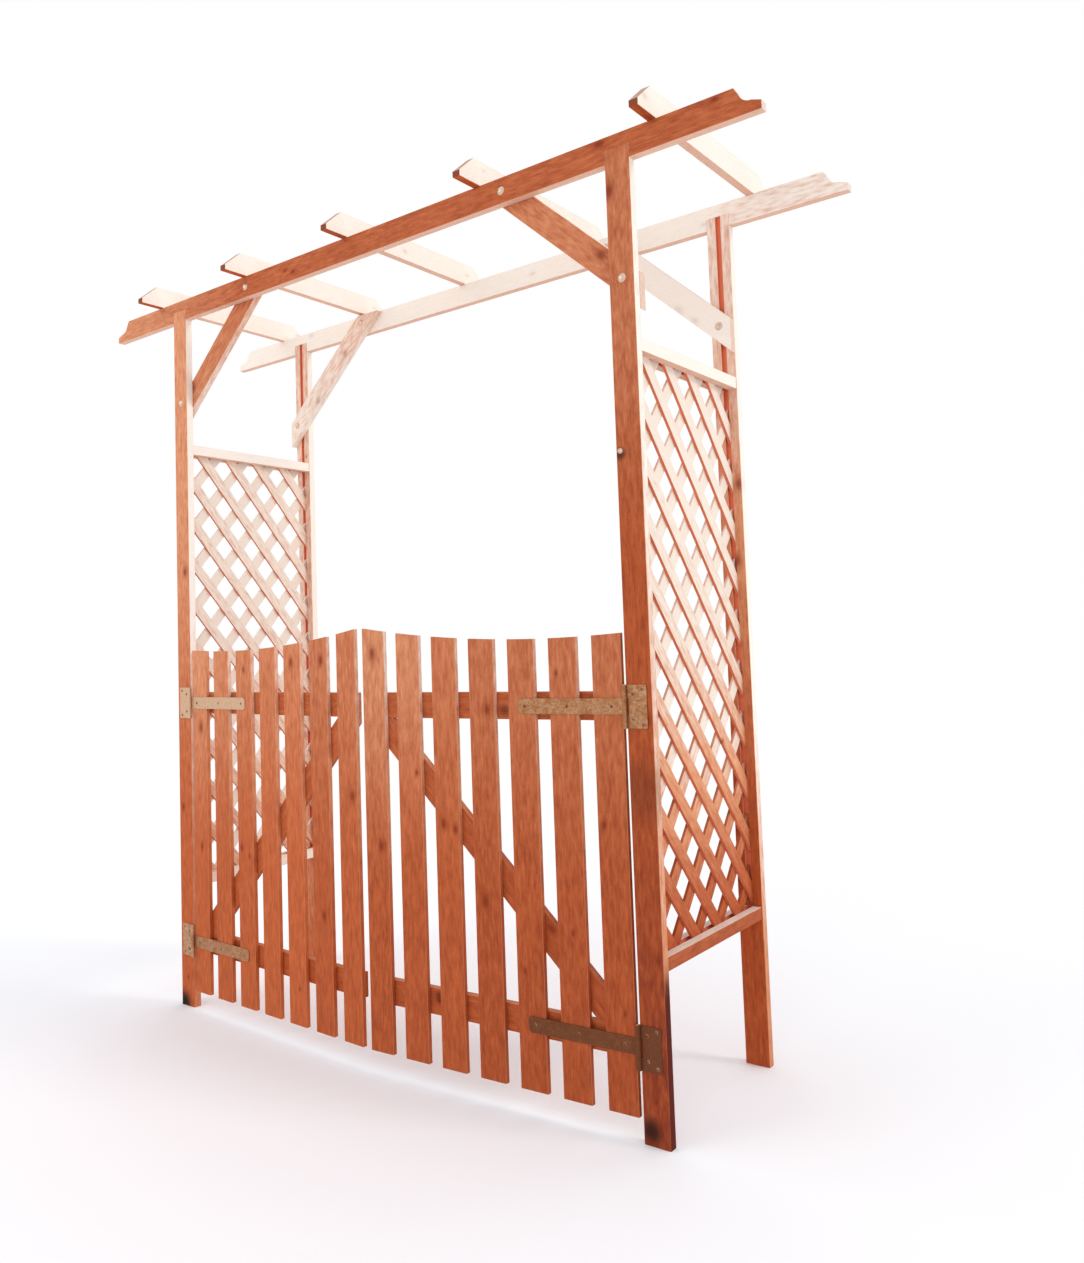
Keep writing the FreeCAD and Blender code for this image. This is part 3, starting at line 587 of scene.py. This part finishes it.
def add_fading(add, at, sun, worn_below):
    """Give the point how far it faces the sun, and how pale it is by faded glaze and painted light, both 0 to
    1.
    """
    sun_fade, sun_from, sun_full = sun
    high = add("MapRange", {0: at.z, 1: sun_from, 2: sun_full}, **soft)
    top = add("MapRange", {0: at.facing_z, **upward}, **soft)
    sunny = add("Math", {0: high, 1: top}, operation="MAXIMUM")
    at.sunlit = add("VectorMath", {0: at.facing, 1: tuple(sun_way)}, "Value", operation="DOT_PRODUCT")
    at.sunlit = add("Math", {0: at.sunlit, 1: 0.0}, operation="MAXIMUM")
    sun_share = sunny
    for share in (sun_fade, at.sun_reach):
        sun_share = add("Math", {0: sun_share, 1: share}, **times)
    all_round = faded_all_round(add, at)
    # Sides that face the sun are painted paler: faded glaze and painted sunlight
    fade = add("Math", {0: at.sunlit, 1: sun_share, 2: all_round}, **times_plus)
    patchy = add("Math", {0: at.blotch, 1: -patch_contrast, 2: patch_most}, **times_plus)
    fade = add("Math", {0: fade, 1: patchy}, **times, use_clamp=True)
    # The rafters' undersides in front of the front beam keep painted shade and are not painted pale
    open_to_air = add("Math", {0: at.y, 1: at.sheltered_to}, operation="GREATER_THAN")
    # Undersides get a paleness of their own, which is painted light
    under = at.down
    for share in (worn_below, open_to_air):
        under = add("Math", {0: under, 1: share}, **times)
    fade = add("Math", {0: fade, 1: under}, operation="MAXIMUM")
    at.fade = add("Math", {0: fade, 1: at.outside}, **times)


print("the sun comes from", [round(x, 2) for x in sun_way])

# %% [markdown]
# The glaze is a thin red-brown stain. Sun first washes it out to a lighter orange, and then bleaches the bare
# wood under it to cream, and the palest tones also stand for painted sunlight and glare. Each of these three
# has a bright and a deep tone, and the grain picks between them. In a groove and on the laths' undersides the
# glaze is whole, and a painted glow stands for the light from other glazed wood close by. The long edges are
# painted lighter, for wear and a painted highlight, which is where a surface faces none of the board's six
# sides.

# %% The glaze's tones
washed = ("e6a379", "c2744b")
# The palest tones stand for bleached wood and for painted sunlight and glare
bleached = ("fbf5e9", "efd9c7")
bleached_laths = ("f2e8d9", "e5cdb9")  # thin laths are rough-sawn, and stay a little greyer
in_shade = "ef8862"  # painted glow: glaze that keeps its colour, painted as lit by other glazed wood close by
washed_fade = {1: 0.0, 2: 0.45}  # the fading between which fresh glaze becomes washed out
bleached_fade = {1: 0.38, 2: 0.95}  # the paleness between which that becomes bleached wood and painted sunlight
groove_glow = 0.8  # how much of that painted glow a groove shows
edge_ends = {1: 0.80, 2: 0.97, 4: 0.0}  # cosines to the nearest side where the edge starts to end and is over


def glaze(add, at, fresh, pale_tones, glow_below):
    """Return the wood's colour by how pale it is, with a painted glow in grooves and undersides, and give how
    pale it is.
    """
    fresh_tone, washed_tone, bleached_tone = [
        add("Mix", {0: share, 6: colour(tones[0]), 7: colour(tones[1])}, 2, **blend)
        for share, tones in ((at.dark, fresh), (at.dark, washed), (at.grain, pale_tones))
    ]
    washing = add("MapRange", {0: at.fade, **washed_fade}, **soft)
    wood = add("Mix", {0: washing, 6: fresh_tone, 7: washed_tone}, 2, **blend)
    at.pale = add("MapRange", {0: at.fade, **bleached_fade}, **soft)
    wood = add("Mix", {0: at.pale, 6: wood, 7: bleached_tone}, 2, **blend)
    # Painted glow: grooves and the laths' undersides take a bright tone that stands for light from glazed
    # wood
    glow = add("Math", {0: at.inside, 1: groove_glow}, **times)
    glow = add("Math", {0: at.down, 1: glow_below, 2: glow}, **times_plus, use_clamp=True)
    return add("Mix", {0: glow, 6: wood, 7: colour(in_shade)}, 2, **blend)


def wear_edges(add, at, wood, worn_edge):
    """Return the wood with long edges lighter, for wear and a painted highlight, and how far the point is on
    an end.
    """
    sides = []
    for way in (at.across, at.through, at.along):
        share = add("VectorMath", {0: at.facing, 1: way}, "Value", operation="DOT_PRODUCT")
        sides.append(add("Math", {0: share}, operation="ABSOLUTE"))
    at.on_end = sides[2]
    flat = add("Math", {0: sides[0], 1: sides[1]}, operation="MAXIMUM")
    flat = add("Math", {0: flat, 1: at.on_end}, operation="MAXIMUM")
    edge = add("MapRange", {0: flat, 3: worn_edge, **edge_ends})
    edge = add("Math", {0: edge, 1: at.blotch}, **times)
    return add("Mix", {0: edge, 6: wood, 7: colour(washed[0])}, 2, **blend)


print("bleached wood", *bleached, "and laths", *bleached_laths)

# %% [markdown]
# A knot has a dark core with a reddish surround, both of them weak where the board is pale. End grain is a
# bundle of open straws, so it drinks the glaze and goes dark, and ends that face the sun are left pale, which
# is painted sunlight.

# %% Knots and ends
knot_tones = {"round_knot": ("8c3412", 0.42), "in_knot": ("701f04", 0.60)}  # and how much each covers
bleached_knots = 0.8  # how much of a knot is lost where the board is palest, bleached and painted sunlit
end_tone = "83360f"
end_limits = {1: 0.45, 2: 0.75, 4: 0.97}  # cosines to the board's length, and how much is covered


def stain_knots(add, at, wood):
    """Return the wood with its knots."""
    kept = add("Math", {0: at.pale, 1: -bleached_knots, 2: 1.0}, **times_plus)
    for part, (tone, cover) in knot_tones.items():
        share = add("Math", {0: getattr(at, part), 1: cover}, **times)
        share = add("Math", {0: share, 1: kept}, **times)
        wood = add("Mix", {0: share, 6: wood, 7: colour(tone)}, 2, **blend)
    return wood


def stain_ends(add, at, wood):
    """Return the wood with its dark ends."""
    end = add("MapRange", {0: at.on_end, **end_limits}, **soft)
    # Ends that face the sun stay pale: painted sunlight
    shaded = add("Math", {0: 1.0, 1: at.sunlit}, **minus)
    end = add("Math", {0: end, 1: shaded}, **times)
    return add("Mix", {0: end, 6: wood, 7: colour(end_tone)}, 2, **blend)


print("ends are stained", end_tone)

# %% [markdown]
# Every side but the right-hand one is darker towards the bottom, and the right-hand sides low down get
# painted shade, most of all on the front post on the right. The dark marks that a board keeps come last:
# round spots with an uneven rim.

# %% Darker low down, painted shade and marks
# The tone of the darker bottom, of the painted shade on right-hand sides, and of the marks
damp_tone, soil_tone, mark_tone = "7a2e18", "561405", "24120c"
damp_heights = {1: 0.10, 2: 0.95, **falling}  # in metres, where the darkening starts to end and is over
soil_heights = {1: 0.34, 2: 0.42, **falling}  # the same for the painted shade on right-hand sides
soil_waves = 0.10  # how far the painted shade's upper edge goes up and down, metres
damp_least = 0.15  # how much darker low down a board is, on top of what it keeps
right_hand = {1: 0.75, 2: 0.95}  # x of the normals between which a side becomes a right-hand one
mark_ends = {1: 0.45, 2: 1.35, **falling}  # the same for a mark, in reaches
mark_wander, mark_ragged = 0.5, 0.9  # how far the blotches and the ragged noise move its rim, in reaches


def add_dirt(add, at, wood):
    """Return the wood darker towards the bottom, with painted shade low on its right-hand sides."""
    damp = add("Math", {0: at.soiled, 1: 1.0, 2: damp_least}, **times_plus)
    damp = add("Math", {0: damp, 1: at.blotch}, **times)
    low = add("MapRange", {0: at.z, **damp_heights}, **soft)
    damp = add("Math", {0: low, 1: damp}, **times)
    not_right = add("MapRange", {0: at.facing_x, **right_hand, **falling}, **soft)
    damp = add("Math", {0: not_right, 1: damp}, **times)
    wood = add("Mix", {0: damp, 6: wood, 7: colour(damp_tone)}, 2, **blend)

    # Painted shade low on the right-hand sides, with a wavy upper edge
    soil = add("Math", {0: at.blotch, 1: soil_waves, 2: at.z}, **times_plus)
    soil = add("MapRange", {0: soil, **soil_heights}, **soft)
    to_right = add("MapRange", {0: at.facing_x, **right_hand}, **soft)
    for share in (at.soiled, to_right, at.outside):
        soil = add("Math", {0: soil, 1: share}, **times)
    return add("Mix", {0: soil, 6: wood, 7: colour(soil_tone)}, 2, **blend)


def add_marks(add, at, wood):
    """Return the wood with its dark marks."""
    for i in range(mark_count):
        mark, size = [
            add("Attribute", {}, "Vector", attribute_type="OBJECT", attribute_name=key + str(i + 1))
            for key in ("mark_", "mark_size_")
        ]
        reach, strength, _ = add("SeparateXYZ", {0: size}).node.outputs
        away = add("VectorMath", {0: at.spot, 1: mark}, "Value", operation="DISTANCE")
        away = add("Math", {0: away, 1: reach}, operation="DIVIDE")
        for noise, far in ((at.blotch, mark_wander), (at.ragged, mark_ragged)):
            away = add("Math", {0: noise, 1: far, 2: away}, **times_plus)
        stain = add("MapRange", {0: away, **mark_ends}, **soft)
        stain = add("Math", {0: stain, 1: strength}, **times)
        wood = add("Mix", {0: stain, 6: wood, 7: colour(mark_tone)}, 2, **blend)
    return wood


# The heights where the darker bottom and the painted shade end
print("damp up to", damp_heights[2], "m and soil up to", soil_heights[2], "m")

# %% [markdown]
# Planed and brushed pine is matt. The hard latewood and the fibres stand a little proud of the soft wood
# between them, which wears first, and knots sink as they dry. A glaze this thin has hardly any gloss of its
# own, so the specular level is far lower than a varnish's. The three pines are the same wood with three
# lives: the frame stands in full sun, the gate hangs in the arch's shade, and the laths are thin and rough.

# %% Glazed pine
fibre_roughness, least_roughness = 0.22, 0.52
late_height, fibre_height, knot_height = 0.5, 0.8, -0.6  # in shares of the relief
relief_depth = 0.0002  # metres
pine_bump = 0.5  # how strongly the relief shows
glaze_ior, glaze_gloss = 1.5, 0.12


def pine_surface(add, at, wood):
    """Return the matt surface of brushed wood."""
    rough = add("Math", {0: at.fibre, 1: fibre_roughness, 2: least_roughness}, **times_plus)
    relief = add("Math", {0: at.late, 1: late_height}, **times)
    for part, height in ((at.fibre, fibre_height), (at.in_knot, knot_height)):
        relief = add("Math", {0: part, 1: height, 2: relief}, **times_plus)
    bump = add("Bump", {"Strength": pine_bump, "Distance": relief_depth, "Height": relief})
    shell = {"Base Color": wood, "Roughness": rough, "Normal": bump}
    return add("BsdfPrincipled", {**shell, "IOR": glaze_ior, "Specular IOR Level": glaze_gloss})


def glazed_pine(name, fresh, pale_tones, sun, worn_edge, below):
    """Return pine with a brushed glaze, whose fresh and pale tones are each a bright and a deep hex value.

    sun is how pale the sides that face the sun are, by faded glaze and painted sunlight, and the heights
    where that starts and is complete. below is the z of a normal under which a side counts as an underside,
    how pale those are painted, which is painted light, and how much of the painted glow they show. Long edges
    are painted lighter by worn_edge, for wear and a painted highlight.
    """
    below_from, worn_below, glow_below = below
    material = bpy.data.materials.new(name)
    add = empty_nodes(material)
    at = point_in_board(add)
    for step in (add_knots, add_year_rings, add_grain):
        step(add, at)
    add_shelter(add, at, below_from)
    add_fading(add, at, sun, worn_below)
    wood = glaze(add, at, fresh, pale_tones, glow_below)
    wood = wear_edges(add, at, wood, worn_edge)
    for step in (stain_knots, stain_ends, add_dirt, add_marks):
        wood = step(add, at, wood)
    add("OutputMaterial", {"Surface": pine_surface(add, at, wood)})
    return material


frame_pine = glazed_pine(
    "glazed_pine_frame", fresh=("cd6736", "903c1d"), pale_tones=bleached,
    sun=(0.93, -0.9, 1.45), worn_edge=0.75, below=(-0.72, 0.62, 0.0),
)
gate_pine = glazed_pine(
    "glazed_pine_gate", fresh=("cf6b3a", "953e1d"), pale_tones=bleached,
    sun=(0.50, 0.2, 1.0), worn_edge=0.75, below=(-0.72, 0.40, 0.0),
)
lath_pine = glazed_pine(
    "glazed_pine_laths", fresh=("c66234", "89381b"), pale_tones=bleached_laths,
    sun=(1.05, 0.25, 1.15), worn_edge=0.0, below=(-0.42, 0.10, 0.55),
)
print("wood nodes", len(frame_pine.node_tree.nodes))

# %% [markdown]
# ## Zinc-plated steel
# The hinges are pressed steel with a yellow-passivated zinc coat. New, it is bright and golden. Outdoors it
# goes dull in a year or two, and where it stays wet the zinc is used up and brown dirt and rust cover it. So
# it is one metal with a second, rough and non-metallic layer of grime over it, and each hinge keeps how far
# it has gone. Screws and bolts have plain, bluish zinc.

# %% Zinc-plated steel
patch_size = 5.0  # of the dull patches in the zinc, mm
stain_size = 16.0  # of the clouds of dirt, mm
rolled = (1 / 9.0, 1 / 1.1, 1 / 1.1)  # the streaks that rolling leaves are 9 mm long and 1.1 mm wide
pattern_covers = 0.22, 0.30, 0.45  # how much patches, streaks and clouds add to what covers the metal
least_cover = 0.14
dull_covers = {1: 0.55, 2: 1.10}  # the covers between which the zinc tarnishes
filth_covers = {1: 1.05, 2: 1.60}  # the covers between which dirt hides it
dull_rougher, filth_rougher = 0.12, 0.25
zinc_bump = 0.35
filth_hides, filth_height = 0.9, 2.0  # how much of the metal it hides, and how thick it is, in patches
patch_low, patch_high = 0.3, 0.7  # the noise where a patch is smoothest and roughest


def grime(add, spot, patches, streaks):
    """Return how far the zinc is tarnished and how far dirt hides it, both from 0 to 1."""
    clouds = add("TexNoise", {0: spot, "Scale": 1 / stain_size, "Detail": 4.0, "Roughness": 0.6})
    cover = add("Attribute", {}, "Fac", attribute_type="OBJECT", attribute_name="grimy")
    for pattern, amount in zip((patches, streaks, clouds), pattern_covers):
        cover = add("Math", {0: pattern, 1: amount, 2: cover}, **times_plus)
    cover = add("Math", {0: cover, 1: least_cover}, **plus)
    return [
        add("MapRange", {0: cover, **covers}, **soft) for covers in (dull_covers, filth_covers)
    ]


def zinc_steel(name, metal, tarnish, dirt, rough_low, rough_high):
    """Return plated steel, with bright metal's two tones, the tarnish over it and the dirt over that."""
    material = bpy.data.materials.new(name)
    add = empty_nodes(material)
    spot = add("TexCoord", {}, "Object")
    spot = add("VectorMath", {0: spot, "Scale": mm}, operation="SCALE")
    patches = add("TexNoise", {0: spot, "Scale": 1 / patch_size, "Detail": 3.0})
    streaks = add("VectorMath", {0: spot, 1: rolled}, **times)
    streaks = add("TexNoise", {0: streaks, "Scale": 1.0, "Detail": 2.0})
    dull, filth = grime(add, spot, patches, streaks)
    tone = add("Mix", {0: streaks, 6: colour(metal[0]), 7: colour(metal[1])}, 2, **blend)
    for share, over in ((dull, tarnish), (filth, dirt)):
        tone = add("Mix", {0: share, 6: tone, 7: colour(over)}, 2, **blend)
    metallic = add("Math", {0: filth, 1: -filth_hides, 2: 1.0}, **times_plus)
    rough = add("MapRange", {0: patches, 1: patch_low, 2: patch_high, 3: rough_low, 4: rough_high})
    rough = add("Math", {0: dull, 1: dull_rougher, 2: rough}, **times_plus)
    rough = add("Math", {0: filth, 1: filth_rougher, 2: rough}, **times_plus, use_clamp=True)
    relief = add("Math", {0: filth, 1: filth_height, 2: patches}, **times_plus)
    bump = add("Bump", {"Strength": zinc_bump, "Distance": relief_depth, "Height": relief})
    settings = {"Base Color": tone, "Metallic": metallic, "Roughness": rough, "Normal": bump}
    add("OutputMaterial", {"Surface": add("BsdfPrincipled", settings)})
    return material


hinge_zinc = zinc_steel("yellow_zinc_steel", ("e4c5ac", "c2976c"), "a06638", "6a3610", 0.36, 0.56)
fixing_zinc = zinc_steel("bright_zinc_steel", ("ecd6c4", "c4a088"), "8d5c3e", "522a16", 0.24, 0.44)
print("steel nodes", len(hinge_zinc.node_tree.nodes))

# %% [markdown]
# ## Dressing the pieces
# Each solid came in with a plain stand-in material in its first slot. Putting the finished material in that
# slot keeps the mesh and its faces as they are.

# %% Put each material in its pieces' slots
# How grimy the steel is; the longest words that fit a piece's name count
grime_of = {
    "left_upper": -0.05, "left_upper_hinge_plate": -0.20, "right_upper": 0.29, "left_lower": 0.28,
    "left_lower_hinge_plate": 0.20, "right_lower": 0.90, "right_lower_hinge_plate": 1.00,
    "hinge_pins": -0.10, "post_screw": -0.10, "bolt": -0.16, "frame_screws": 0.25, "left_leaf_screws": 0.30,
    "right_leaf_screws": 0.45, "plate_screws": 0.35,
}


def material_of(name):
    """Return the material that a piece wears."""
    if name in boards:
        if "lath" in name or "trellis_bottom" in name:
            return lath_pine
        in_gate = "picket" in name or "diagonal" in name or name.endswith(("lower_rail", "upper_rail"))
        return gate_pine if in_gate else frame_pine
    return fixing_zinc if "screw" in name or "bolt" in name else hinge_zinc


worn_by = {}
for name, piece in boards_and_steel.items():
    material = material_of(name)
    piece.data.materials[0] = material
    worn_by[material.name] = worn_by.get(material.name, 0) + 1
    if name not in boards:
        piece["grimy"] = max((len(words), amount) for words, amount in grime_of.items() if words in name)[1]
print(worn_by)

# %% [markdown]
# ## Floor, background and light
# A pale floor that ends in a horizon would draw a line through the picture. Here it turns into the same white
# as the background a few metres out, for the camera and for reflections only, so the light that it gives back
# to the object stays that of a pale floor. The background is a large soft sky that lights the object, and
# the camera sees it as plain white.

# %% Floor and background
floor_reach = 30.0
floor_whitens = {1: 1.6, 2: 4.2}  # metres from the middle, where the floor starts to turn white and is white
floor_tone, sky_tone = "f7f7f6", "f6f8ff"
sky_strength = 1.0
white = (1.0, 1.0, 1.0, 1.0)


def seen(add):
    """Return 1 for what the camera sees straight, in a reflection or through glass, and 0 for the rest."""
    path = add("LightPath", {}).node.outputs
    direct = add("Math", {0: path["Is Camera Ray"], 1: path["Is Glossy Ray"]}, operation="MAXIMUM")
    return add("Math", {0: direct, 1: path["Is Transmission Ray"]}, operation="MAXIMUM")


floor_mesh = bpy.data.meshes.new("floor")
corners = [(x * floor_reach, y * floor_reach, 0.0) for x, y in ((-1, -1), (1, -1), (1, 1), (-1, 1))]
floor_mesh.from_pydata(corners, [], [(0, 1, 2, 3)])
floor = bpy.data.objects.new("floor", floor_mesh)
bpy.context.scene.collection.objects.link(floor)

floor_paint = bpy.data.materials.new("pale_floor")
add = empty_nodes(floor_paint)
spot = add("TexCoord", {}, "Object")
out = add("VectorMath", {0: spot}, "Value", operation="LENGTH")
far = add("MapRange", {0: out, **floor_whitens}, **soft)
whitened = add("Math", {0: far, 1: seen(add)}, **times)
matt = add("BsdfPrincipled", {"Base Color": colour(floor_tone), "Roughness": 0.9})
glow = add("Emission", {"Color": white, "Strength": 1.0})
add("OutputMaterial", {"Surface": add("MixShader", {0: whitened, 1: matt, 2: glow})})
floor_mesh.materials.append(floor_paint)

world = bpy.data.worlds.new("soft sky")
bpy.context.scene.world = world
add = empty_nodes(world)
sky = add("Background", {"Color": colour(sky_tone), "Strength": sky_strength})
backdrop = add("Background", {"Color": white, "Strength": 1.0})
add("OutputWorld", {"Surface": add("MixShader", {0: seen(add), 1: sky, 2: backdrop})})
print("sky", sky_strength)

# %% [markdown]
# One soft lamp stands for the sun, high on the right and behind, so that the right-hand sides and the tops
# are the bright ones. A weak lamp in front, on the left, lifts the shade a little.

# %% The lamps
sun_strength = 0.78
sun_softness = math.radians(16)
sun_colour = (1.0, 0.965, 0.92)  # a little warm
fill_power = 40.0
fill_size = 3.0
fill_place = Vector((-2.4, -4.4, 3.6))
fill_target = Vector((-0.3, -0.2, 1.4))

sun_lamp = bpy.data.lights.new("sun", "SUN")
sun_lamp.energy = sun_strength
sun_lamp.angle = sun_softness
sun_lamp.color = sun_colour
sun = bpy.data.objects.new("sun", sun_lamp)
sun.rotation_euler = sun_way.to_track_quat("Z", "Y").to_euler()
bpy.context.scene.collection.objects.link(sun)

fill_lamp = bpy.data.lights.new("fill", "AREA")
fill_lamp.energy = fill_power
fill_lamp.size = fill_size
fill = bpy.data.objects.new("fill", fill_lamp)
fill.location = fill_place
fill.rotation_euler = (fill_place - fill_target).to_track_quat("Z", "Y").to_euler()
bpy.context.scene.collection.objects.link(fill)
bpy.context.scene.view_settings.view_transform = "Standard"
print("sun", sun_strength, "fill", fill_power, "W")
